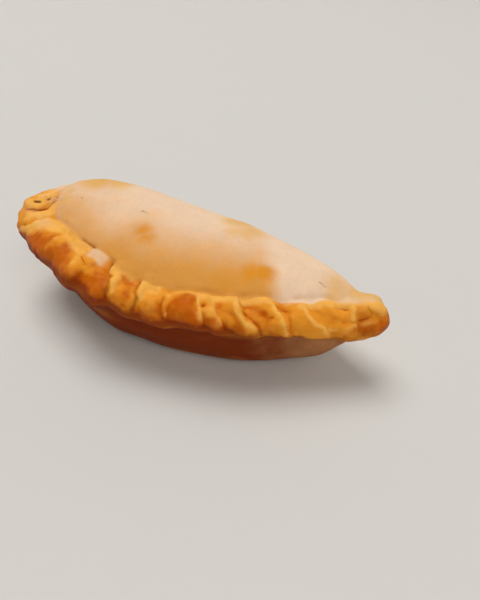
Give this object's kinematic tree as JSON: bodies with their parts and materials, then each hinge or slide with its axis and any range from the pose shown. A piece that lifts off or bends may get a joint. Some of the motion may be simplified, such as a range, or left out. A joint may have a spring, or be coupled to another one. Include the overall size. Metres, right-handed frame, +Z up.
{
  "type": "empanada",
  "caption": "Baked half-moon empanada lying on its flat base, with a smooth high dome, a full belly and a thick hand-crimped rim of overlapping folds along the front.",
  "frame": {"origin": "on the base plane, under the middle of the object's box", "axes": "+X along the length towards the pointed nose, -Y towards the crimped front, +Z up"},
  "size_m": [0.1098, 0.0486, 0.0335],
  "materials": {
    "baked_crust": "baked wheat dough, pale cream dome, golden brown crimp, faint satin sheen"
  },
  "bodies": {
    "root": {"empanada": "baked_crust"}
  },
  "joints": []
}
